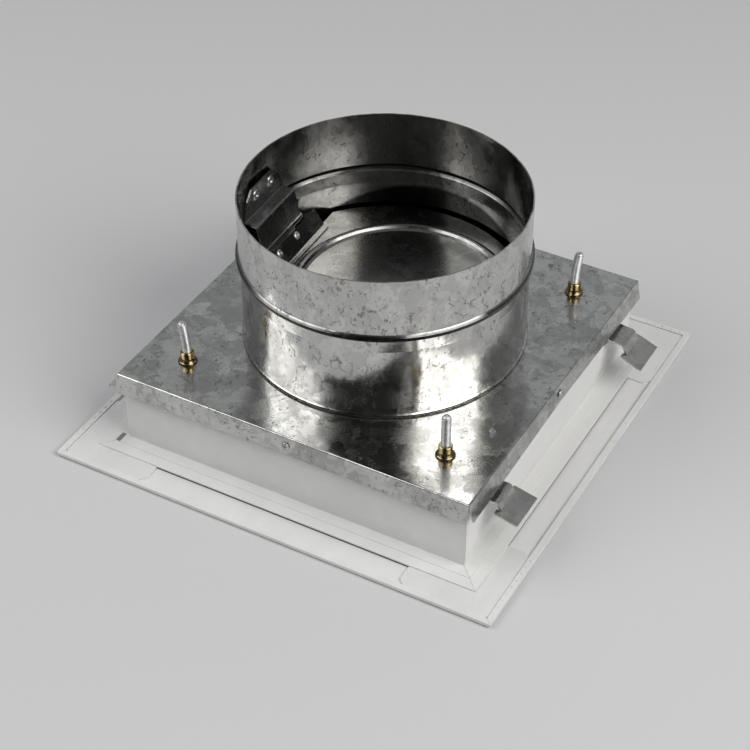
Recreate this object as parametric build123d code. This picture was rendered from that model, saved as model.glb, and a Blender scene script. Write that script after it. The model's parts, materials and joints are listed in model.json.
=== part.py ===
"""Square ceiling air diffuser with a round duct spigot and a flap damper.

Millimetres. The part stands on its room face: z = 0 is the face plane and +Z runs up through
the spigot. The origin is the centre of the face. +X points away from the damper's hinge.
"""

import os
from math import cos, radians, sin, sqrt, tan

from build123d import *

# Face frame: four mitred aluminium rails, each a flange with a wall standing on it.
FACE_HALF = 125.0
FLANGE_T = 1.2
FACE_BEVEL = 0.8
LIP_IN = 121.8
LIP_TOP = 2.6
LEDGE_OUT = 109.3
LEDGE_TOP = 3.0
GROOVE_IN = 105.2
GROOVE_TOP = 2.2
STEP_OUT = 103.2
STEP_TOP = 3.4
UNDERCUT = 0.85
UNDERCUT_TOP = 11.5
WALL_OUT = 98.0
WALL_T = 1.4
WALL_TOP = 46.1
MITRE_GAP = 0.15
STAKE_R = 0.8
STAKE_DEPTH = 0.4
STAKE_AT = 123.1
STAKES = [78.5 + 5.0 * n for n in range(9)]

# Flat L keys in the flange channel, one at each corner, their inner edge under the ledge.
KEY_END = 73.5
KEY_CUT = 3.2
KEY_Z = (1.25, 2.15)
KEY_PLAY = 0.3
KEY_CORNER = 1.0

# Galvanised back plate, a shallow tray turned down over the wall.
PLATE_HALF = 100.2
PLATE_TOP = 47.0
SHEET = 0.8
FOLD_R = 0.85
LIP_BOTTOM = 36.2
LIP_FLARE = 0.7
LIP_FLARE_END = 2.2

# Duct spigot, drawn in slightly below the bead.
SPIGOT_R = 74.0
LOW_R = 73.5
TAPER_Z = 88.2
SPIGOT_T = 0.7
RIM_Z = 130.2
BEAD_Z = 97.0
BEAD_OUT = 1.7
LOCK_R = 77.5

# Screws that carry the face panel, and the rivet nuts they turn in.
SCREW_AT = 74.0
SCREW_R = 2.4
SCREW_TIP = 72.0
NUT_BORE_R = 2.46
NUT_R = 3.5
NUT_TOP = 53.7
COLLAR_R = 5.0

# Ceiling tabs: bent strips held under the back plate by the rivet nuts.
TAB_AT = 71.0
TAB_WIDTH = 15.5
PAD_WIDTH = 22.5
TAB_T = 1.0
EAR_REACH = 2.2
SLOT_WIDTH = 18.0
SLOT_Z = (26.5, 35.6)
TAB_INNER_X = 65.5
TAB_DROP_X = 90.5

# Face panel, a pan that leaves a slot all round.
PANEL_HALF = 90.5
PANEL_Z = 0.4
PANEL_T = 1.0
PANEL_RIM = 14.0
CUP_R = 7.5
CUP_DEPTH = 4.0
HEAD_R = 4.5

# Flap damper in the spigot, drawn with its hinge at -X and then turned a little about Z.
BLADE_R = 70.6
BLADE_Z = 73.0
BLADE_T = 0.7
CHORD_X = -54.5
RING_X = 9.0
RING_R = 54.8
RING_WIDTH = 6.6
RING_RISE = 2.2
PIN_X = -61.0
PIN_Z = 84.8
PIN_R = 1.25
EYE_BORE_R = 1.32
EYE_R = 2.2
DAMPER_TURN = 1.9
BRACKET_HALF = 19.4
BRACKET_TOP = 117.0
BRACKET_RIVET_Z = 111.8
BRACKET_RIVET_Y = 7.2
BRACKET_BACK_X = -70.7
STRIP_BACK_Z = 101.6
STRIP_FRONT = (-63.4, 100.7)
LEAF_HALF = 31.5
SHOULDER_IN = 21.3
LEAF_TOP = (-58.6, 83.0)
LEAF_KNEE = (-52.6, 74.25)
LEAF_TOE = -49.9
LEAF_RIVET_Y = 9.0
LEAF_RIVET_AT = 3.2

CORNERS = [(-1, -1), (1, -1), (1, 1), (-1, 1)]
SIDES = {"right": 0, "back": 90, "left": 180, "front": 270}
STAKED_END = {"right": -1, "back": -1, "left": 1, "front": 0}


def slab(x0, x1, y0, y1, z0, z1):
    """Box between two corners."""
    return Pos((x0 + x1) / 2, (y0 + y1) / 2, (z0 + z1) / 2) * Box(x1 - x0, y1 - y0, z1 - z0)


def rod(x, y, radius, z0, z1):
    """Upright cylinder."""
    return Pos(x, y, (z0 + z1) / 2) * Cylinder(radius, z1 - z0)


def rod_y(x, z, radius, y0, y1):
    """Cylinder along Y."""
    return Pos(x, (y0 + y1) / 2, z) * Rot(90, 0, 0) * Cylinder(radius, y1 - y0)


def rod_x(y, z, radius, x0, x1):
    """Cylinder along X."""
    return Pos((x0 + x1) / 2, y, z) * Rot(0, 90, 0) * Cylinder(radius, x1 - x0)


def section_xz(points, y0, y1):
    """Solid with an outline in X and Z, between two values of Y."""
    outline = Polyline(*[(x, y0, z) for x, z in points], close=True)
    return extrude(make_face(outline), amount=y1 - y0, dir=(0, 1, 0))


def turned(points):
    """Solid of revolution about Z from an outline of radius and height."""
    outline = Polyline(*[(r, 0, z) for r, z in points], close=True)
    return revolve(make_face(outline), axis=Axis.Z)


def bent_strip(path, thickness):
    """Outline of a sheet bent along a path of X and Z points, thickened to both sides."""
    left = []
    right = []
    for i, (x, z) in enumerate(path):
        before = path[max(i - 1, 0)]
        after = path[min(i + 1, len(path) - 1)]
        first = Vector(x - before[0], z - before[1]) if i else Vector(after[0] - x, after[1] - z)
        last = Vector(after[0] - x, after[1] - z) if i < len(path) - 1 else first
        mean = first.normalized() + last.normalized()
        mean = mean.normalized()
        reach = thickness / 2 / max(mean.dot(first.normalized()), 0.5)
        left.append((x - mean.Y * reach, z + mean.X * reach))
        right.append((x + mean.Y * reach, z - mean.X * reach))
    return left + right[::-1]


def rounded_path(path, radius, steps=4):
    """Path of X and Z points with each inner corner turned into a short arc."""
    out = [path[0]]
    for a, b, c in zip(path, path[1:], path[2:]):
        corner = Vector(*b)
        back = (Vector(*a) - corner).normalized()
        on = (Vector(*c) - corner).normalized()
        half = radians(back.get_angle(on)) / 2
        cut = radius / tan(half)
        start = corner + back * cut
        end = corner + on * cut
        for k in range(steps + 1):
            t = k / steps
            p = start * ((1 - t) ** 2) + corner * (2 * t * (1 - t)) + end * (t**2)
            out.append((p.X, p.Y))
    out.append(path[-1])
    return out


def mitre_wedge(gap):
    """Prism that keeps the +X quarter of a square ring, less half the gap at each mitre."""
    tip = gap * sqrt(2)
    reach = FACE_HALF + 20
    outline = Polyline((tip, 0), (reach + tip, reach), (reach + tip, -reach), close=True)
    return Pos(0, 0, -1) * extrude(make_face(outline), amount=60)


def frame_rail(turn, slotted, staked):
    """One rail: flange with lip, key channel and stepped ledge, and the wall standing on it.

    The wall's foot is drawn in a little behind the ledge. Punch marks in the lip hold one
    key's leg, at the end of the rail that staked points to.
    """
    wall_in = WALL_OUT - WALL_T
    points = [
        (wall_in, FACE_BEVEL),
        (wall_in + FACE_BEVEL, 0),
        (FACE_HALF - FACE_BEVEL, 0),
        (FACE_HALF, FACE_BEVEL),
        (FACE_HALF, LIP_TOP),
        (LIP_IN, LIP_TOP),
        (LIP_IN, FLANGE_T),
        (GROOVE_IN, FLANGE_T),
        (GROOVE_IN, GROOVE_TOP),
        (LEDGE_OUT, GROOVE_TOP),
        (LEDGE_OUT, LEDGE_TOP),
        (STEP_OUT, LEDGE_TOP),
        (STEP_OUT, STEP_TOP),
        (WALL_OUT - UNDERCUT, STEP_TOP),
        (WALL_OUT - UNDERCUT, STEP_TOP + 1),
        (WALL_OUT - 0.4 * UNDERCUT, STEP_TOP + 0.5 * (UNDERCUT_TOP - STEP_TOP)),
        (WALL_OUT, UNDERCUT_TOP),
        (WALL_OUT, WALL_TOP),
        (wall_in, WALL_TOP),
    ]
    rail = section_xz(points, -FACE_HALF, FACE_HALF) & mitre_wedge(MITRE_GAP / 2)
    rail -= rod_x(0, 41.5, 1.6, wall_in - 1, WALL_OUT + 1)
    for y in STAKES if staked else []:
        rail -= rod(STAKE_AT, staked * y, STAKE_R, LIP_TOP - STAKE_DEPTH, LIP_TOP + 1)
    if slotted:
        for side in (-1, 1):
            y = side * TAB_AT
            rail -= slab(
                wall_in - 1, WALL_OUT + 1, y - SLOT_WIDTH / 2, y + SLOT_WIDTH / 2, *SLOT_Z
            )
    return Rot(0, 0, turn) * rail


def corner_key(turn):
    """L key with slanted ends, lying in the channels of two rails."""
    low = GROOVE_IN + KEY_PLAY
    high = LIP_IN - KEY_PLAY
    points = [
        (low, low),
        (low, KEY_END),
        (high - KEY_CUT, KEY_END),
        (high, KEY_END + KEY_CUT),
        (high, high - KEY_CORNER),
        (high - KEY_CORNER, high),
        (KEY_END + KEY_CUT, high),
        (KEY_END, high - KEY_CUT),
        (KEY_END, low),
    ]
    plate = extrude(make_face(Polyline(*points, close=True)), amount=KEY_Z[1] - KEY_Z[0])
    return Rot(0, 0, turn) * Pos(0, 0, KEY_Z[0]) * plate


def lip_section(y, flare):
    """Face across the fold at one place along it, with the lip's lower edge flared outward."""
    bend = PLATE_HALF - FOLD_R
    outer = []
    inner = []
    for step in range(7):
        a = radians(90 - 15 * step)
        outer.append((bend + FOLD_R * cos(a), PLATE_TOP - FOLD_R + FOLD_R * sin(a)))
        r = FOLD_R - SHEET
        inner.append((bend + r * cos(a), PLATE_TOP - FOLD_R + r * sin(a)))
    tip = [(PLATE_HALF + flare, LIP_BOTTOM), (PLATE_HALF + flare - SHEET, LIP_BOTTOM)]
    points = [(bend - 3, PLATE_TOP)] + outer + tip + inner[::-1] + [(bend - 3, PLATE_TOP - SHEET)]
    return make_face(Polyline(*[(x, y, z) for x, z in points], close=True))


def plate_lip(turn):
    """One folded edge of the back plate, drawn in at its rivet and standing off at its ends."""
    bend = PLATE_HALF - FOLD_R
    middle = lip_section(0, LIP_FLARE)
    lip = loft([middle, lip_section(PLATE_HALF, LIP_FLARE_END)], ruled=True)
    lip += loft([lip_section(-PLATE_HALF, LIP_FLARE_END), middle], ruled=True)
    lip &= mitre_wedge(0.1)
    top = PLATE_TOP - FOLD_R
    end = [
        (-PLATE_HALF, PLATE_TOP + 1),
        (PLATE_HALF, PLATE_TOP + 1),
        (PLATE_HALF - 0.25, top),
        (PLATE_HALF - 1.1, LIP_BOTTOM - 1),
        (1.1 - PLATE_HALF, LIP_BOTTOM - 1),
        (0.25 - PLATE_HALF, top),
    ]
    trim = extrude(
        make_face(Polyline(*[(bend - 4, y, z) for y, z in end], close=True)), amount=12, dir=(1, 0, 0)
    )
    lip &= trim
    lip -= rod_x(0, 41.5, 1.6, bend - 1, PLATE_HALF + 2)
    return Rot(0, 0, turn) * lip


def back_plate():
    """Tray with the spigot hole and the four rivet nut holes."""
    flat = PLATE_HALF - FOLD_R - 0.2
    plate = slab(-flat, flat, -flat, flat, PLATE_TOP - SHEET, PLATE_TOP)
    for turn in SIDES.values():
        plate += plate_lip(turn)
    plate -= rod(0, 0, LOW_R + 0.3, PLATE_TOP - 2, PLATE_TOP + 1)
    for sx, sy in CORNERS:
        plate -= rod(sx * SCREW_AT, sy * SCREW_AT, NUT_R + 0.1, PLATE_TOP - 2, PLATE_TOP + 1)
    return plate


def spigot():
    """Thin tube with a rolled bead, swaged above and below the plate's hole."""
    r = SPIGOT_R
    b = BEAD_OUT
    bead = [(0, -2.1), (0.35 * b, -1.6), (0.8 * b, -0.9), (b, 0), (0.8 * b, 0.9), (0.35 * b, 1.6), (0, 2.1)]
    lock = [(0, 0.15), (0.6, 0.4), (0.8, 0.9), (0.5, 1.5), (0, 2.0)]
    wall = [(LOW_R, PLATE_TOP - SHEET - 0.1)]
    wall += [(LOW_R + dr, PLATE_TOP + dz) for dr, dz in lock]
    wall += [(LOW_R, TAPER_Z)]
    wall += [(r + dr, BEAD_Z + dz) for dr, dz in bead]
    wall += [(r, RIM_Z)]
    inside = [(x - SPIGOT_T, z) for x, z in wall[::-1]]
    flange_top = PLATE_TOP - SHEET - 0.1
    foot = [
        (LOW_R - SPIGOT_T, flange_top - SPIGOT_T),
        (LOCK_R, flange_top - SPIGOT_T),
        (LOCK_R, flange_top),
    ]
    tube = turned(foot + wall + inside[:-1])
    for y in (-BRACKET_RIVET_Y, BRACKET_RIVET_Y):
        tube -= Rot(0, 0, DAMPER_TURN) * rod_x(y, BRACKET_RIVET_Z, 1.6, -r - 2, -r + 5)
    return tube


def lip_rivets():
    """One rivet through the middle of each plate lip into the wall."""
    rivets = []
    for turn in SIDES.values():
        shank = rod_x(0, 41.5, 1.5, WALL_OUT - WALL_T - 0.6, PLATE_HALF + 0.9)
        head = Pos(PLATE_HALF + 1.05, 0, 41.5) * Rot(0, 90, 0) * Cone(2.3, 1.5, 0.7)
        tail = rod_x(0, 41.5, 2.1, WALL_OUT - WALL_T - 1.1, WALL_OUT - WALL_T - 0.1)
        rivets.append(Rot(0, 0, turn) * (shank + head + tail))
    return rivets


def rivet_nuts():
    """Threaded inserts in the plate: lower flange, crimped collar and body."""
    under = PLATE_TOP - SHEET - 1.25
    points = [
        (NUT_BORE_R, under - 0.8),
        (COLLAR_R, under - 0.8),
        (COLLAR_R, under),
        (NUT_R, under),
        (NUT_R, PLATE_TOP + 0.05),
        (COLLAR_R - 0.3, PLATE_TOP + 0.05),
        (COLLAR_R, PLATE_TOP + 0.45),
        (COLLAR_R - 0.3, PLATE_TOP + 0.95),
        (NUT_R + 0.8, PLATE_TOP + 1.35),
        (NUT_R + 0.25, PLATE_TOP + 2.1),
        (NUT_R, PLATE_TOP + 3.0),
        (NUT_R, NUT_TOP - 0.4),
        (NUT_R - 0.4, NUT_TOP),
        (NUT_BORE_R, NUT_TOP),
    ]
    return [Pos(sx * SCREW_AT, sy * SCREW_AT, 0) * turned(points) for sx, sy in CORNERS]


def ceiling_tab(outer, turn, side):
    """Strip from under the back plate, down inside the wall and out through its slot.

    Outside the wall it drops to a wider pad, whose ears reach back beside the strip.
    """
    top = PLATE_TOP - SHEET - 0.1 - TAB_T / 2
    path = [(TAB_INNER_X, top), (TAB_DROP_X, top), (TAB_DROP_X, outer[0][1])] + outer
    outline = bent_strip(rounded_path(path, 2.0), TAB_T)
    strip = section_xz(outline, -TAB_WIDTH / 2, TAB_WIDTH / 2)
    bend = Vector(*outer[-2])
    end = Vector(*outer[-1])
    heel = bend - (end - bend).normalized() * EAR_REACH
    pad = section_xz(bent_strip([(heel.X, heel.Y), outer[-1]], TAB_T), -PAD_WIDTH / 2, PAD_WIDTH / 2)
    notch = TAB_WIDTH / 2 + 0.1
    pad -= slab(heel.X - 2, bend.X + 0.5, -notch, notch, 0, PLATE_TOP)
    strip = Pos(0, side * TAB_AT, 0) * (strip + pad)
    strip -= rod(SCREW_AT, side * SCREW_AT, NUT_R + 0.1, top - 2, top + 2)
    return Rot(0, 0, turn) * strip


def face_panel():
    """Pan with a rim all round and a sunk cup for each screw head."""
    half = PANEL_HALF
    low = PANEL_Z
    panel = slab(-half, half, -half, half, low, low + PANEL_RIM)
    inner = half - PANEL_T
    panel -= slab(-inner, inner, -inner, inner, low + PANEL_T, low + PANEL_RIM + 1)
    edges = panel.edges().filter_by(Axis.Z).filter_by_position(Axis.X, -half - 0.1, half + 0.1)
    outer = [e for e in edges if abs(abs(e.center().X) - half) < 0.01]
    panel = fillet(outer, 2.5)
    for sx, sy in CORNERS:
        x = sx * SCREW_AT
        y = sy * SCREW_AT
        panel += rod(x, y, CUP_R, low, low + CUP_DEPTH)
        panel -= rod(x, y, CUP_R - PANEL_T, low - 1, low + CUP_DEPTH - PANEL_T)
        panel -= rod(x, y, SCREW_R + 0.3, low, low + CUP_DEPTH + 1)
    return panel


def panel_screws():
    """Pan-head screws from the room side, up through the rivet nuts."""
    seat = PANEL_Z + CUP_DEPTH - PANEL_T - 0.05
    screws = []
    for sx, sy in CORNERS:
        points = [
            (0, seat - 2.6),
            (HEAD_R - 0.9, seat - 2.6),
            (HEAD_R, seat - 1.7),
            (HEAD_R, seat),
            (SCREW_R, seat),
            (SCREW_R, SCREW_TIP - 0.8),
            (SCREW_R - 0.8, SCREW_TIP),
            (0, SCREW_TIP),
        ]
        screw = turned(points)
        for angle in (0, 90):
            screw -= Pos(0, 0, seat - 2.6) * Rot(0, 0, angle) * Box(4.4, 0.8, 2.4)
        screws.append(Pos(sx * SCREW_AT, sy * SCREW_AT, 0) * screw)
    return screws


def screw_retainers():
    """Push-on washers that keep each screw captive in the panel."""
    base = PANEL_Z + CUP_DEPTH + 0.05
    points = [(SCREW_R + 0.02, base), (4.6, base), (4.6, base + 0.8), (SCREW_R + 0.02, base + 1.1)]
    return [Pos(sx * SCREW_AT, sy * SCREW_AT, 0) * turned(points) for sx, sy in CORNERS]


def hinge_bracket():
    """Folded bridge on the spigot wall: tapered upstand, top strip, sloping skirt, three eyes."""
    back = BRACKET_BACK_X
    foot = (PIN_X + 0.6, PIN_Z + EYE_R - 0.4)
    path = [(back, BRACKET_TOP), (back, STRIP_BACK_Z), STRIP_FRONT, foot]
    outline = bent_strip(rounded_path(path, 1.4), 1.0)
    bracket = section_xz(outline, -BRACKET_HALF, BRACKET_HALF)
    bracket &= rod(0, 0, SPIGOT_R - SPIGOT_T - 0.05, 80, BRACKET_TOP + 1)
    for side in (-1, 1):
        taper = [
            (side * BRACKET_HALF, STRIP_BACK_Z + 1.5),
            (side * (BRACKET_HALF - 3.6), STRIP_BACK_Z + 10.4),
            (side * (BRACKET_HALF - 9.2), BRACKET_TOP + 1),
            (side * (BRACKET_HALF + 5), BRACKET_TOP + 1),
            (side * (BRACKET_HALF + 5), STRIP_BACK_Z + 1.5),
        ]
        waste = make_face(Polyline(*[(back - 4, y, z) for y, z in taper], close=True))
        bracket -= extrude(waste, amount=8, dir=(1, 0, 0))
    for y0, y1 in ((-BRACKET_HALF, -12.0), (-4.0, 4.0), (12.0, BRACKET_HALF)):
        bracket += rod_y(PIN_X, PIN_Z, EYE_R, y0, y1)
    for y0, y1 in ((-12.0, -4.0), (4.0, 12.0)):
        bracket -= rod_y(PIN_X, PIN_Z, EYE_R + 0.35, y0, y1)
    bracket -= rod_y(PIN_X, PIN_Z, EYE_BORE_R, -25, 25)
    for side in (-1, 1):
        bracket -= rod_x(side * BRACKET_RIVET_Y, BRACKET_RIVET_Z, 1.6, back - 2, back + 2)
    return bracket


def bracket_rivets():
    """Domed rivets through the bracket's upstand, flush with the outside of the spigot."""
    back = BRACKET_BACK_X
    rivets = []
    for side in (-1, 1):
        y = side * BRACKET_RIVET_Y
        shank = rod_x(y, BRACKET_RIVET_Z, 1.5, -SPIGOT_R - 1, back + 0.6)
        shank &= rod(0, 0, SPIGOT_R - 0.05, 90, 120)
        head = Pos(back + 1.0, y, BRACKET_RIVET_Z) * Rot(0, 90, 0) * Cone(3.2, 2.0, 0.9)
        rivets.append(shank + head)
    return rivets


def hinge_pin():
    """Pin through the eyes, with a small head at each end."""
    pin = rod_y(PIN_X, PIN_Z, PIN_R, -20.6, 20.6)
    pin += rod_y(PIN_X, PIN_Z, 1.9, -20.6, -19.9)
    pin += rod_y(PIN_X, PIN_Z, 1.9, 19.9, 20.6)
    return pin


def slope_point(along, offset):
    """Point on the leaf's slope: distance down from its top, and offset to the hinge's side."""
    top = Vector(*LEAF_TOP)
    knee = Vector(*LEAF_KNEE)
    down = (knee - top).normalized()
    side = Vector(down.Y, -down.X)
    p = top + down * along + side * offset
    return (p.X, p.Y)


def rivet_on_slope(y, low, high, radius):
    """Cylinder square to the leaf's slope, between two offsets towards the hinge's side."""
    a = slope_point(LEAF_RIVET_AT, low)
    b = slope_point(LEAF_RIVET_AT, high)
    direction = (b[0] - a[0], 0, b[1] - a[1])
    plane = Plane(origin=(a[0], y, a[1]), z_dir=direction)
    return plane * Cylinder(radius, high - low, align=(Align.CENTER, Align.CENTER, Align.MIN))


def hinge_strap():
    """Moving half of the hinge: two eyes on a short plate behind the leaf."""
    top = slope_point(1.2, 0.85)
    low = slope_point(9.2, 0.85)
    strap = section_xz(bent_strip([top, low], 0.8), -12.6, 12.6)
    strap += section_xz(bent_strip([(PIN_X + 0.9, PIN_Z - 1.0), slope_point(2.2, 0.85)], 0.8), -11.6, 11.6)
    strap -= rod_y(PIN_X, PIN_Z, EYE_R + 0.35, -13, -11.6)
    strap -= rod_y(PIN_X, PIN_Z, EYE_R + 0.35, -4.4, 4.4)
    strap -= rod_y(PIN_X, PIN_Z, EYE_R + 0.35, 11.6, 13)
    for y0, y1 in ((-11.6, -4.4), (4.4, 11.6)):
        strap += rod_y(PIN_X, PIN_Z, EYE_R, y0, y1)
    strap -= rod_y(PIN_X, PIN_Z, EYE_BORE_R, -25, 25)
    for y in (-LEAF_RIVET_Y, LEAF_RIVET_Y):
        strap -= rivet_on_slope(y, -3, 3, 1.3)
    return strap


def leaf_shoulder(side):
    """Low triangle on the leaf's top edge, outside the bracket."""
    peak = slope_point(-2.6, 0)
    low = slope_point(0.6, 0)
    points = [
        (low[0], side * SHOULDER_IN, low[1]),
        (peak[0], side * SHOULDER_IN, peak[1]),
        (low[0], side * (LEAF_HALF - 1.5), low[1]),
    ]
    across = Vector(peak[0] - low[0], 0, peak[1] - low[1]).normalized()
    normal = Vector(-across.Z, 0, across.X)
    face = make_face(Polyline(*[Vector(*p) - normal * 0.4 for p in points], close=True))
    return extrude(face, amount=0.8, dir=(normal.X, normal.Y, normal.Z))


def damper_leaf():
    """Sloping plate between the hinge strap and the blade, with a short toe on the blade."""
    path = [LEAF_TOP, LEAF_KNEE, (LEAF_TOE, LEAF_KNEE[1])]
    leaf = section_xz(bent_strip(rounded_path(path, 1.6), 0.8), -LEAF_HALF, LEAF_HALF)
    leaf -= rod_y(PIN_X, PIN_Z, EYE_R + 0.35, -SHOULDER_IN, SHOULDER_IN)
    for side in (-1, 1):
        leaf += leaf_shoulder(side)
    for y in (-LEAF_RIVET_Y, LEAF_RIVET_Y):
        leaf -= rivet_on_slope(y, -3, 3, 1.3)
    return leaf


def leaf_rivets():
    """Two round-head rivets through the leaf and the strap."""
    rivets = []
    for y in (-LEAF_RIVET_Y, LEAF_RIVET_Y):
        rivet = rivet_on_slope(y, -0.9, 1.8, 1.2)
        rivet += rivet_on_slope(y, -1.1, -0.45, 2.2)
        rivet += rivet_on_slope(y, 1.3, 1.9, 1.8)
        rivets.append(rivet)
    return rivets


def damper_blade():
    """Disc cut off along the hinge side, stiffened by a pressed ring."""
    z = BLADE_Z
    half = RING_WIDTH / 2
    rise = RING_RISE
    wave = [
        (-half, 0),
        (-0.62 * half, 0.35 * rise),
        (-0.3 * half, 0.85 * rise),
        (0, rise),
        (0.3 * half, 0.85 * rise),
        (0.62 * half, 0.35 * rise),
        (half, 0),
    ]
    under = [(0, z), (RING_R - half, z)]
    under += [(RING_R + dr, z + dz) for dr, dz in wave[1:-1]]
    under += [(RING_R + half, z), (150, z)]
    over = [(r, h + BLADE_T) for r, h in under]
    disc = Pos(RING_X, 0, 0) * turned(under + over[::-1])
    disc &= rod(0, 0, BLADE_R, z - 1, z + 6)
    disc -= slab(-100, CHORD_X, -100, 100, z - 1, z + 6)
    return disc


RIGHT_BACK_TAB = [(97.5, 31.9), (108.2, 30.7), (110.8, 25.1), (120.9, 21.2)]
RIGHT_FRONT_TAB = [(97.5, 32.5), (104.5, 32.7), (106.7, 28.4), (117.2, 26.0)]
LEFT_FRONT_TAB = [(97.5, 31.4), (108.4, 28.9), (110.9, 22.8), (120.6, 17.4)]
LEFT_BACK_TAB = [(97.5, 31.6), (107.6, 30.8), (110.0, 26.0), (119.6, 22.8)]


def damper_turned(*shapes):
    """Pieces of the damper at the angle the bracket is riveted to the spigot."""
    turned_shapes = [Rot(0, 0, DAMPER_TURN) * shape for shape in shapes]
    return turned_shapes if len(turned_shapes) > 1 else turned_shapes[0]


def build():
    """Every node of the diffuser, by name."""
    parts = {}
    for name, turn in SIDES.items():
        parts["rail_" + name] = frame_rail(turn, name in ("left", "right"), STAKED_END[name])
    for n, turn in enumerate((180, 270, 0, 90)):
        parts["corner_key_" + "abcd"[n]] = corner_key(turn)
    parts["back_plate"] = back_plate()
    parts["spigot"] = spigot()
    parts["lip_rivets"] = lip_rivets()
    parts["rivet_nuts"] = rivet_nuts()
    parts["tab_right_back"] = ceiling_tab(RIGHT_BACK_TAB, 0, 1)
    parts["tab_right_front"] = ceiling_tab(RIGHT_FRONT_TAB, 0, -1)
    parts["tab_left_front"] = ceiling_tab(LEFT_FRONT_TAB, 180, 1)
    parts["tab_left_back"] = ceiling_tab(LEFT_BACK_TAB, 180, -1)
    parts["face_panel"] = face_panel()
    parts["panel_screws"] = panel_screws()
    parts["screw_retainers"] = screw_retainers()
    parts["hinge_bracket"] = damper_turned(hinge_bracket())
    parts["bracket_rivets"] = damper_turned(*bracket_rivets())
    parts["hinge_pin"] = damper_turned(hinge_pin())
    parts["hinge_strap"] = damper_turned(hinge_strap())
    parts["damper_leaf"] = damper_turned(damper_leaf())
    parts["leaf_rivets"] = damper_turned(*leaf_rivets())
    parts["damper_blade"] = damper_turned(damper_blade())
    return parts


os.makedirs("parts", exist_ok=True)
for node, shape in build().items():
    solid = Compound(children=shape) if isinstance(shape, list) else shape
    export_step(solid, "parts/" + node + ".step")
    print(node)
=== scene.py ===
"""Looks of the square ceiling air diffuser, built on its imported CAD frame. Metres."""

import json
import math

import bpy
from mathutils import Matrix, Vector


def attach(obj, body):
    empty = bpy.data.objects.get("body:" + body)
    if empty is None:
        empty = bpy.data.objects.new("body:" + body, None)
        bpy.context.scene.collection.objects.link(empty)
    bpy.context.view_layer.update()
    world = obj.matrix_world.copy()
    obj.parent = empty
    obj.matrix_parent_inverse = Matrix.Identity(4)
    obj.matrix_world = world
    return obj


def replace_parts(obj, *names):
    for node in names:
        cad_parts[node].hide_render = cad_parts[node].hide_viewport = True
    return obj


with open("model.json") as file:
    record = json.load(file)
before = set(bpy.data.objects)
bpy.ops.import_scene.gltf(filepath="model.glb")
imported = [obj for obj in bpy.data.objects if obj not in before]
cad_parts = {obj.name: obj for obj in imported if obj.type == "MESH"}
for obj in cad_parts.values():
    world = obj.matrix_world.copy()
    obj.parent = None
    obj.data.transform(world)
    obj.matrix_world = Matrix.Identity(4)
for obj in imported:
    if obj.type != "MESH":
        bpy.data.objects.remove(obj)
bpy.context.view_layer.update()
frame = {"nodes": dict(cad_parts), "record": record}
nodes = frame["nodes"]
MM = 0.001
BEAD_Z = 97.0 * MM
DAMPER_TURN = 1.9


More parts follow.
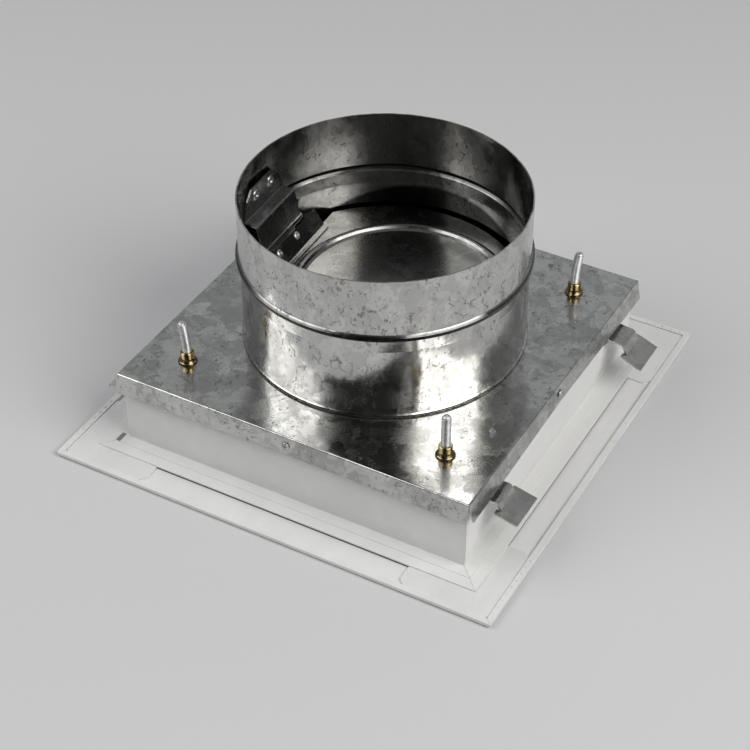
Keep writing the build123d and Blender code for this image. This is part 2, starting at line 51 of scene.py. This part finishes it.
# ---------------------------------------------------------------- materials
class Graph:
    """A material's node tree, with short calls for the nodes used here."""

    def __init__(self, name):
        self.material = bpy.data.materials.new(name)
        self.material.use_nodes = True
        self.tree = self.material.node_tree
        self.tree.nodes.clear()
        self.out = self.tree.nodes.new("ShaderNodeOutputMaterial")
        self.shader = self.tree.nodes.new("ShaderNodeBsdfPrincipled")
        self.tree.links.new(self.shader.outputs[0], self.out.inputs[0])
        self.coord = self.tree.nodes.new("ShaderNodeTexCoord").outputs["Object"]

    def put(self, socket, value):
        if isinstance(value, bpy.types.NodeSocket):
            self.tree.links.new(value, socket)
        elif value is not None:
            socket.default_value = value

    def math(self, op, a, b=0.0, clamp=False):
        n = self.tree.nodes.new("ShaderNodeMath")
        n.operation = op
        n.use_clamp = clamp
        self.put(n.inputs[0], a)
        self.put(n.inputs[1], b)
        return n.outputs[0]

    def vec(self, op, a, b=None):
        n = self.tree.nodes.new("ShaderNodeVectorMath")
        n.operation = op
        self.put(n.inputs[0], a)
        if op == "SCALE":
            self.put(n.inputs["Scale"], b)
        else:
            self.put(n.inputs[1], b)
        return n.outputs[0]

    def xyz(self, v):
        n = self.tree.nodes.new("ShaderNodeSeparateXYZ")
        self.put(n.inputs[0], v)
        return n.outputs

    def join(self, x, y, z):
        n = self.tree.nodes.new("ShaderNodeCombineXYZ")
        for socket, value in zip(n.inputs, (x, y, z)):
            self.put(socket, value)
        return n.outputs[0]

    def noise(self, scale, detail, rough, at, distortion=0.0):
        n = self.tree.nodes.new("ShaderNodeTexNoise")
        self.put(n.inputs["Vector"], at)
        n.inputs["Scale"].default_value = scale
        n.inputs["Detail"].default_value = detail
        n.inputs["Roughness"].default_value = rough
        n.inputs["Distortion"].default_value = distortion
        return n.outputs

    def cells(self, scale, at):
        n = self.tree.nodes.new("ShaderNodeTexVoronoi")
        self.put(n.inputs["Vector"], at)
        n.inputs["Scale"].default_value = scale
        return n.outputs

    def ramp(self, value, stops):
        n = self.tree.nodes.new("ShaderNodeValToRGB")
        self.put(n.inputs[0], value)
        e = n.color_ramp.elements
        while len(e) < len(stops):
            e.new(0.5)
        for item, (p, c) in zip(e, stops):
            item.position = p
            item.color = (c, c, c, 1)
        return n.outputs[0]

    def mix(self, factor, a, b):
        n = self.tree.nodes.new("ShaderNodeMix")
        n.data_type = "RGBA"
        self.put(n.inputs["Factor"], factor)
        for socket, value in ((n.inputs[6], a), (n.inputs[7], b)):
            if isinstance(value, tuple):
                value = (*value, 1)
            self.put(socket, value)
        return n.outputs[2]

    def bump(self, height, strength, distance, normal=None):
        n = self.tree.nodes.new("ShaderNodeBump")
        self.put(n.inputs["Height"], height)
        n.inputs["Strength"].default_value = strength
        n.inputs["Distance"].default_value = distance
        if normal:
            self.put(n.inputs["Normal"], normal)
        return n.outputs[0]

    def between(self, value, low, high):
        above = self.math("GREATER_THAN", value, low)
        return self.math("MULTIPLY", above, self.math("LESS_THAN", value, high))

    def set(self, **values):
        for name, value in values.items():
            self.put(self.shader.inputs[name.replace("_", " ")], value)
        return self.material


def frame_painted_shade(g, color):
    """Painted shade in the slit of the key channel, and a painted shadow for the open joint at the foot of
    the left corner.
    """
    x, y, z = g.xyz(g.coord)
    ring = g.math("MAXIMUM", g.math("ABSOLUTE", x), g.math("ABSOLUTE", y))
    # Painted shade: the slit under the ledge is darkened nearly to black.
    slit = g.math("MULTIPLY", g.between(ring, 0.1045, 0.10925), g.between(z, 0.0011, 0.00225))
    color = g.mix(g.math("MULTIPLY", slit, 0.85), color, (0.10, 0.10, 0.095))
    # Painted shadow: a near-black patch at the foot of the left corner stands in for the shade inside its
    # open joint.
    slant = g.math("ADD", g.math("MULTIPLY", z, 0.25), -0.0975)
    gap = g.math("MULTIPLY", g.math("LESS_THAN", x, -0.1005), g.math("LESS_THAN", y, slant))
    gap = g.math("MULTIPLY", gap, g.between(ring, 0.09, 0.1031))
    gap = g.math("MULTIPLY", gap, g.math("LESS_THAN", z, 0.009))
    return g.mix(g.math("MULTIPLY", gap, 0.75), color, (0.04, 0.04, 0.04))


def powder_coat(name, tint, seed, wear, frame_rail=False):
    """White powder coat: faint orange peel, thin soiling, scuffs and a few specks."""
    g = Graph(name)
    at = g.vec("ADD", g.coord, (seed, seed * 0.7, seed * 0.3))
    cloud = g.noise(14, 4, 0.6, at)[0]
    smear = g.noise(60, 5, 0.65, g.vec("MULTIPLY", at, (1.0, 0.35, 1.0)))[0]
    dirt = g.ramp(g.math("MULTIPLY", cloud, smear), [(0.16, 0.0), (0.42, 1.0)])
    low = tuple(c * (1 - 0.10 * wear) for c in tint)
    color = g.mix(dirt, low, tint)
    speck = g.cells(240, at)[0]
    spot = g.ramp(speck, [(0.035, 1.0), (0.075, 0.0)])
    pick = g.ramp(g.noise(33, 1, 0.5, at)[0], [(0.60, 0.0), (0.66, 1.0)])
    color = g.mix(g.math("MULTIPLY", spot, pick), color, (0.36, 0.35, 0.33))
    scratch = g.noise(420, 2, 0.5, g.vec("MULTIPLY", at, (0.06, 1.0, 1.0)), 0.6)[0]
    line = g.ramp(scratch, [(0.70, 0.0), (0.735, 1.0)])
    color = g.mix(g.math("MULTIPLY", line, 0.22 * wear), color, (0.55, 0.55, 0.54))
    # On the frame rails, add painted shade in the key slit and a painted shadow at the open corner joint.
    if frame_rail:
        color = frame_painted_shade(g, color)
    rough = g.ramp(smear, [(0.3, 0.38), (0.75, 0.56)])
    peel = g.noise(900, 3, 0.55, at)[0]
    wave = g.noise(45, 2, 0.5, at)[0]
    height = g.math("ADD", g.math("MULTIPLY", peel, 0.35), g.math("MULTIPLY", wave, 0.6))
    return g.set(Base_Color=color, Roughness=rough, Normal=g.bump(height, 0.22, 0.0004), IOR=1.46)


def duct_painted_shade(g, color):
    """Inside the duct: painted shade darkens the inner metal, darkest low on the back wall; a painted dark
    band along the bead stands in for its dark reflection.
    """
    x, y, z = g.xyz(g.coord)
    facing = g.xyz(g.tree.nodes.new("ShaderNodeNewGeometry").outputs["Normal"])
    outward = g.math("ADD", g.math("MULTIPLY", x, facing[0]), g.math("MULTIPLY", y, facing[1]))
    inside = g.math("LESS_THAN", outward, 0.0)
    # Painted shade: every face turned inward is darkened towards black.
    color = g.mix(g.math("MULTIPLY", inside, 0.38), color, (0.0, 0.0, 0.0))
    # Painted shade: below a slanting line on the inner wall, low at the front and high at the back, the
    # metal is darkened nearly to black.
    along = g.math("ADD", g.math("MULTIPLY", x, -0.0872), g.math("MULTIPLY", y, 0.9962))
    edge = g.math("ADD", g.math("MULTIPLY", along, 0.585), 0.0463)
    below = g.math("MULTIPLY", g.math("SUBTRACT", edge, z), 450.0, True)
    low = g.math("MULTIPLY", inside, g.math("MULTIPLY", below, 0.88))
    color = g.mix(low, color, (0.0, 0.0, 0.0))
    # Painted reflection: a dark band along the bead, inside and out, stands in for the dark room it
    # reflects and dims its highlights.
    away = g.math("ABSOLUTE", g.math("SUBTRACT", z, BEAD_Z))
    line = g.ramp(g.math("MULTIPLY", away, 400.0), [(0.55, 1.0), (1.0, 0.0)])
    return g.mix(g.math("MULTIPLY", line, 0.84), color, (0.03, 0.03, 0.03))


def galvanised(name, seed, scale, matte, rough, tone, shade, spots, cover=0.0, duct=False):
    """Zinc coat, nearly a mirror: grey clouds, crystals that lean apart and small dark stains.

    scale is crystals per metre, tone and shade the bright and the dull grey, spots and cover the
    strength and the spread of the stains.
    """
    g = Graph(name)
    at = g.vec("ADD", g.coord, (seed, seed * 0.61, seed * 0.37))
    at = g.vec("MULTIPLY", at, (1.0, 1.0, 0.7 if duct else 1.0))
    warp = g.vec("SUBTRACT", g.noise(scale * 1.6, 4, 0.65, at)[1], (0.5, 0.5, 0.5))
    wavy = g.vec("ADD", at, g.vec("SCALE", warp, 1.5 / scale))
    big = g.xyz(g.cells(scale, wavy)["Color"])
    small = g.xyz(g.cells(scale * 2.6, g.vec("ADD", wavy, (3.1, 1.7, 0.4)))["Color"])
    drift = g.noise(scale * 0.4, 3, 0.6, at)[0]
    mixed = g.math("ADD", g.math("MULTIPLY", big[0], 0.42), g.math("MULTIPLY", small[0], 0.33))
    mixed = g.math("ADD", mixed, g.math("MULTIPLY", drift, 0.5))
    frost = g.ramp(mixed, [(0.50, 0.0), (0.80, 1.0)])
    cloud = g.ramp(g.noise(scale * 1.1, 5, 0.68, wavy, 0.5)[0], [(0.30, 0.0), (0.70, 1.0)])
    bright = tuple(c * tone for c in (0.690, 0.687, 0.668))
    grey = tuple(c * (1 - shade) for c in bright)
    color = g.mix(g.math("MULTIPLY", cloud, 0.55), bright, grey)
    facet = g.math("ADD", g.math("MULTIPLY", big[1], 0.6), g.math("MULTIPLY", small[0], 0.4))
    color = g.mix(g.ramp(facet, [(0.30, 0.0), (0.70, 0.8)]), color, grey)
    stain = g.ramp(g.noise(scale * 3.3, 3, 0.72, at, 0.9)[0], [(0.600 - cover, 0.0), (0.655 - cover, 1.0)])
    where = g.ramp(g.noise(scale * 0.55, 2, 0.5, at)[0], [(0.42 - cover, 0.0), (0.54 - cover, 1.0)])
    stain = g.math("MULTIPLY", stain, where)
    color = g.mix(g.math("MULTIPLY", stain, spots), color, (0.13, 0.13, 0.125))
    scratch = g.noise(260, 2, 0.5, g.vec("MULTIPLY", at, (0.09, 1.0, 0.5)), 0.4)[0]
    line = g.ramp(scratch, [(0.69, 0.0), (0.73, 1.0)])
    color = g.mix(g.math("MULTIPLY", line, 0.15), color, (0.88, 0.88, 0.87))
    # Inside the spigot, add painted shade on the inner wall and a painted dark band along the bead.
    if duct:
        color = duct_painted_shade(g, color)
    r = g.math("ADD", g.math("MULTIPLY", frost, matte), rough)
    r = g.math("ADD", r, g.math("MULTIPLY", cloud, matte * 0.35))
    r = g.math("ADD", r, g.math("MULTIPLY", stain, 0.10))
    lean = g.vec("SUBTRACT", g.join(big[1], big[2], small[2]), (0.5, 0.5, 0.5))
    grain = g.noise(1400, 2, 0.6, g.vec("MULTIPLY", at, (1.0, 0.25, 1.0)))[0]
    normal = g.bump(grain, 0.03, 0.0002)
    normal = g.bump(g.noise(17, 2, 0.5, at)[0], 0.22, 0.0012, normal)
    normal = g.vec("NORMALIZE", g.vec("ADD", normal, g.vec("SCALE", lean, 0.022)))
    return g.set(Base_Color=color, Metallic=1.0, Roughness=r, Normal=normal)


def plated(name, tint, dark, seed, rough):
    """Zinc or chromate plating: small tonal drift, rubbed spots and fine tool marks."""
    g = Graph(name)
    at = g.vec("ADD", g.coord, (seed, seed * 0.3, seed * 0.8))
    drift = g.noise(320, 3, 0.6, at)[0]
    color = g.mix(g.ramp(drift, [(0.35, 0.0), (0.68, 1.0)]), dark, tint)
    rub = g.ramp(g.noise(900, 3, 0.6, at)[0], [(0.60, 0.0), (0.70, 1.0)])
    color = g.mix(g.math("MULTIPLY", rub, 0.4), color, tuple(min(1, c * 1.25) for c in tint))
    mark = g.noise(2600, 2, 0.5, g.vec("MULTIPLY", at, (0.3, 0.3, 1.0)))[0]
    r = g.math("ADD", g.math("MULTIPLY", drift, 0.22), rough)
    return g.set(Base_Color=color, Metallic=1.0, Roughness=r, Normal=g.bump(mark, 0.12, 0.0001))


PAINTS = {
    # frame_paint's last value, True, adds painted shade in the key slit and a painted shadow at the left
    # corner joint.
    "frame_paint": ((0.85, 0.85, 0.84), 0.3, 1.0, True),
    "key_paint": ((0.84, 0.845, 0.835), 1.9, 1.3),
    "panel_paint": ((0.85, 0.85, 0.84), 4.1, 0.6),
}
ZINC_COATS = {
    "galvanised_plate": (0.9, 90, 0.12, 0.12, 1.0, 0.46, 0.6, 0.02),
    # The spigot's last value, True, adds painted shade inside the duct and a painted dark band along the
    # bead.
    "galvanised_spigot": (2.7, 110, 0.09, 0.115, 1.0, 0.30, 0.62, 0.04, True),
    # The damper's tone of 0.47 is painted shade: the same zinc as the plate at half its brightness, for
    # the blade deep inside the duct.
    "galvanised_damper": (5.2, 70, 0.08, 0.19, 0.47, 0.30, 0.4),
    "galvanised_tab": (7.7, 130, 0.12, 0.22, 0.90, 0.30, 0.3),
}
PLATINGS = {
    "zinc_screw": ((0.90, 0.90, 0.89), (0.66, 0.67, 0.67), 1.1, 0.34),
    "yellow_nut": ((0.46, 0.37, 0.19), (0.17, 0.125, 0.06), 3.3, 0.14),
    "steel_rivet": ((0.66, 0.67, 0.67), (0.38, 0.39, 0.40), 6.4, 0.26),
}
MATERIALS = {}
for make, table in ((powder_coat, PAINTS), (galvanised, ZINC_COATS), (plated, PLATINGS)):
    for name, values in table.items():
        MATERIALS[name] = make(name, *values)


def finish_with(obj, slot):
    obj.data.materials.clear()
    obj.data.materials.append(MATERIALS[slot])
    return obj


SLOT_OF = {s["node"]: s["material_slot"] for s in frame["record"]["subparts"]}
BEVEL = {
    "frame_paint": 0.3,
    "key_paint": 0.18,
    "panel_paint": 0.3,
    "yellow_nut": 0.12,
    "galvanised_tab": 0.25,
}
FINE_BEVEL = 0.1
BEVEL_FROM = math.radians(40)
for name, obj in nodes.items():
    finish_with(obj, SLOT_OF[name])
    for p in obj.data.polygons:
        p.use_smooth = True
    bevel = obj.modifiers.new("soft_edges", "BEVEL")
    bevel.width = BEVEL.get(SLOT_OF[name], FINE_BEVEL) * MM
    bevel.segments = 2
    bevel.limit_method = "ANGLE"
    bevel.angle_limit = BEVEL_FROM
    bevel.harden_normals = False
    weigh = obj.modifiers.new("flat_faces", "WEIGHTED_NORMAL")
    weigh.keep_sharp = False


# ---------------------------------------------------------------- small pieces
def mesh_piece(name, verts, faces, slot, body):
    data = bpy.data.meshes.new(name)
    data.from_pydata(verts, [], faces)
    data.update()
    obj = bpy.data.objects.new(name, data)
    bpy.context.scene.collection.objects.link(obj)
    for p in data.polygons:
        p.use_smooth = True
    finish_with(obj, slot)
    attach(obj, body)
    return obj


def join_rings(faces, base, rings, sides):
    """Faces between rings of points that follow one another, each of the same count."""
    for k in range(rings - 1):
        for i in range(sides):
            j = (i + 1) % sides
            p = base + k * sides
            faces.append((p + i, p + j, p + sides + j, p + sides + i))


POLE = 0.001
SCREW_SIDES = 20
SCREW_AT = 74.0
PITCH = 0.8
MAJOR = 2.42
MINOR = 1.98
THREAD_FROM = 12.0
THREAD_TO = 71.2
LEAN_FROM = 52.0
LEAN_SPAN = 20.0
SEAT = 3.35
HEAD = [
    (0.0, SEAT - 1.2), (1.2, SEAT - 1.3), (1.5, SEAT - 2.55), (3.0, SEAT - 2.55), (4.0, SEAT - 2.2),
    (4.45, SEAT - 1.4), (4.5, SEAT - 0.6), (4.5, SEAT), (2.35, SEAT), (2.35, 11.6), (MINOR, 12.2),
    (MINOR, 13.2),
]
TIP = [(MINOR, 70.0), (MINOR, 71.3), (1.6, 71.9), (0.0, 72.0)]


def screw_mesh(verts, faces, x, y, lean_to):
    """One M5 screw: pan head below, plain neck, then a helical thread; the free end leans a little."""
    base = len(verts)
    turns = int((THREAD_TO - THREAD_FROM) / PITCH)
    rows = turns * SCREW_SIDES + 1
    lx, ly = lean_to

    def place(r, a, z):
        over = max(0.0, z - LEAN_FROM) ** 2 / LEAN_SPAN
        return ((x + r * math.cos(a) + lx * over) * MM, (y + r * math.sin(a) + ly * over) * MM, z * MM)

    for i in range(rows):
        a = 2 * math.pi * i / SCREW_SIDES
        z = THREAD_FROM + PITCH * i / SCREW_SIDES
        fade = min(1.0, i / SCREW_SIDES, (rows - 1 - i) / SCREW_SIDES)
        crest = MINOR + (MAJOR - MINOR) * fade
        for r, dz in ((MINOR, 0.0), (crest, 0.28), (crest, 0.42), (MINOR, 0.70)):
            verts.append(place(r, a, z + dz * PITCH))
    for i in range(rows - 1):
        for k in range(3):
            p = base + i * 4 + k
            faces.append((p, p + 4, p + 5, p + 1))
        if i + SCREW_SIDES < rows - 1:
            p = base + i * 4 + 3
            q = base + (i + SCREW_SIDES) * 4
            faces.append((p, p + 4, q + 4, q))
    for chain in (HEAD, TIP):
        base = len(verts)
        for r, z in chain:
            for i in range(SCREW_SIDES):
                verts.append(place(max(r, POLE), 2 * math.pi * i / SCREW_SIDES, z))
        join_rings(faces, base, len(chain), SCREW_SIDES)


verts, faces = [], []
for sx, sy, lean in ((-1, -1, 0.085), (1, -1, 0.02), (1, 1, 0.085), (-1, 1, 0.04)):
    lean_to = (lean * sx * 0.75, lean * sy * 0.65)
    screw_mesh(verts, faces, SCREW_AT * sx, SCREW_AT * sy, lean_to)
screws = mesh_piece("threaded_screws", verts, faces, "zinc_screw", "panel")
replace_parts(screws, "panel_screws")


def lathe(verts, faces, profile, origin, axis, sides=24):
    """Add a turned shape: profile of radius and height, millimetres, from origin along axis."""
    axis = Vector(axis).normalized()
    across = axis.orthogonal().normalized()
    other = axis.cross(across)
    base = len(verts)
    for r, h in profile:
        for i in range(sides):
            a = 2 * math.pi * i / sides
            around = across * math.cos(a) + other * math.sin(a)
            verts.append((Vector(origin) + around * max(r, POLE) + axis * h) * MM)
    join_rings(faces, base, len(profile), sides)


def rivet_piece(name, node, profile, places, body):
    """Blind rivets with a hollow head, in place of a CAD node."""
    verts, faces = [], []
    for origin, axis in places:
        lathe(verts, faces, profile, origin, axis)
    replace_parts(mesh_piece(name, verts, faces, "steel_rivet", body), node)


def turned_about_z(v, degrees):
    return Matrix.Rotation(math.radians(degrees), 3, "Z") @ Vector(v)


lip_profile = [
    (0, -2.8), (0.85, -2.8), (0.85, 0.4), (1.0, 0.6), (1.5, 0.65), (2.0, 0.42), (2.28, 0.08), (2.28, 0),
    (1.5, 0), (1.5, -4.4), (2.1, -4.5), (2.1, -5.0), (1.6, -5.4), (0, -5.45),
]
places = [(turned_about_z((100.9, 0, 41.5), t), turned_about_z((1, 0, 0), t)) for t in (0, 90, 180, 270)]
rivet_piece("lip_blind_rivets", "lip_rivets", lip_profile, places, "housing")
bracket_profile = [
    (0, -1.2), (1.0, -1.2), (1.05, 0.6), (1.3, 0.82), (2.2, 0.74), (2.85, 0.42), (3.18, 0.06), (3.18, 0),
    (1.5, 0), (1.5, -3.1), (0, -3.15),
]
places = [
    (turned_about_z((-70.15, y, 111.8), DAMPER_TURN), turned_about_z((1, 0, 0), DAMPER_TURN))
    for y in (-7.2, 7.2)
]
rivet_piece("bracket_blind_rivets", "bracket_rivets", bracket_profile, places, "housing")
leaf_profile = [
    (0, -1.6), (0.8, -1.6), (0.8, 0.4), (0.98, 0.58), (1.5, 0.56), (1.95, 0.32), (2.18, 0.04), (2.18, 0),
    (1.2, 0), (1.2, -1.8), (1.8, -1.85), (1.8, -2.3), (0, -2.35),
]
places = [
    (
        turned_about_z((-56.419, y, 80.615), DAMPER_TURN),
        turned_about_z((0.8247, 0, 0.5655), DAMPER_TURN),
    )
    for y in (-9.0, 9.0)
]
rivet_piece("leaf_blind_rivets", "leaf_rivets", leaf_profile, places, "damper")


# ---------------------------------------------------------------- stage, light, camera
FLOOR_HALF = 6.0
FLOOR_Z = -0.0004
FLOOR_COLOR = (0.67, 0.67, 0.68, 1)
OVERHEAD = (0.16, 0.16, 0.1616, 1)
STUDIO_STOPS = [(0.28, 0.005), (0.42, 0.05), (0.66, 0.19), (0.79, 0.28), (0.88, 0.40)]
LIGHT_DISTANCE = 2.0
AIM = Vector((0, 0, 0.05))


def floor():
    h, z = FLOOR_HALF, FLOOR_Z
    data = bpy.data.meshes.new("floor")
    data.from_pydata([(-h, -h, z), (h, -h, z), (h, h, z), (-h, h, z)], [], [(0, 1, 2, 3)])
    obj = bpy.data.objects.new("floor", data)
    bpy.context.scene.collection.objects.link(obj)
    m = bpy.data.materials.new("floor")
    m.use_nodes = True
    shader = m.node_tree.nodes["Principled BSDF"]
    shader.inputs["Base Color"].default_value = FLOOR_COLOR
    shader.inputs["Roughness"].default_value = 0.6
    shader.inputs["Specular IOR Level"].default_value = 0.2
    data.materials.append(m)


def studio():
    """Dim room: black towards the viewer, mid grey behind the object, dark overhead."""
    world = bpy.data.worlds.new("studio")
    world.use_nodes = True
    tree = world.node_tree
    coord = tree.nodes.new("ShaderNodeTexCoord").outputs["Generated"]
    flat = tree.nodes.new("ShaderNodeVectorMath")
    flat.operation = "DOT_PRODUCT"
    tree.links.new(coord, flat.inputs[0])
    flat.inputs[1].default_value = (-0.259, 0.966, 0.0)
    side = tree.nodes.new("ShaderNodeValToRGB")
    half = tree.nodes.new("ShaderNodeMath")
    half.operation = "MULTIPLY_ADD"
    tree.links.new(flat.outputs["Value"], half.inputs[0])
    half.inputs[1].default_value = 0.5
    half.inputs[2].default_value = 0.5
    tree.links.new(half.outputs[0], side.inputs[0])
    while len(side.color_ramp.elements) < len(STUDIO_STOPS):
        side.color_ramp.elements.new(0.5)
    for item, (p, v) in zip(side.color_ramp.elements, STUDIO_STOPS):
        item.position = p
        item.color = (v * 0.98, v, v * 1.03, 1)
    split = tree.nodes.new("ShaderNodeSeparateXYZ")
    tree.links.new(coord, split.inputs[0])
    top = tree.nodes.new("ShaderNodeMapRange")
    tree.links.new(split.outputs[2], top.inputs[0])
    for i, v in enumerate((0.80, 0.95, 0.0, 1.0)):
        top.inputs[1 + i].default_value = v
    mix = tree.nodes.new("ShaderNodeMix")
    mix.data_type = "RGBA"
    tree.links.new(top.outputs[0], mix.inputs["Factor"])
    tree.links.new(side.outputs[0], mix.inputs[6])
    mix.inputs[7].default_value = OVERHEAD
    tree.links.new(mix.outputs[2], tree.nodes["Background"].inputs[0])
    bpy.context.scene.world = world


def softbox(name, azimuth, elevation, size, power, tint=(1, 1, 1)):
    """Area light aimed at the object from a compass azimuth, counted from +X to +Y."""
    a = math.radians(azimuth)
    e = math.radians(elevation)
    away = Vector((math.cos(a) * math.cos(e), math.sin(a) * math.cos(e), math.sin(e))) * LIGHT_DISTANCE
    light = bpy.data.lights.new(name, "AREA")
    light.shape = "RECTANGLE"
    light.size, light.size_y = size
    light.energy = power
    light.color = tint
    obj = bpy.data.objects.new(name, light)
    obj.location = AIM + away
    obj.rotation_euler = (-away).to_track_quat("-Z", "Y").to_euler()
    bpy.context.scene.collection.objects.link(obj)


floor()
studio()
softbox("left_box", -143, 42, (1.55, 1.3), 18.5)
softbox("right_box", -9, 42, (1.45, 1.3), 29, (1, 0.99, 0.97))

camera = bpy.data.cameras.new("camera")
camera.sensor_width = 36
camera.lens = 91.06
view = bpy.data.objects.new("camera", camera)
azimuth, elevation, roll = (math.radians(a) for a in (29.308, 39.716, -0.265))
back = Vector(
    (
        math.sin(azimuth) * math.cos(elevation),
        -math.cos(azimuth) * math.cos(elevation),
        math.sin(elevation),
    )
)
right = Vector((math.cos(azimuth), math.sin(azimuth), 0))
up = back.cross(right)
across = right * math.cos(roll) + up * math.sin(roll)
upward = up * math.cos(roll) - right * math.sin(roll)
axes = Matrix((across, upward, back)).transposed().to_4x4()
view.matrix_world = Matrix.Translation((0.3759, -0.6806, 0.6593)) @ axes
bpy.context.scene.collection.objects.link(view)
bpy.context.scene.camera = view
bpy.context.scene.view_settings.view_transform = "Standard"
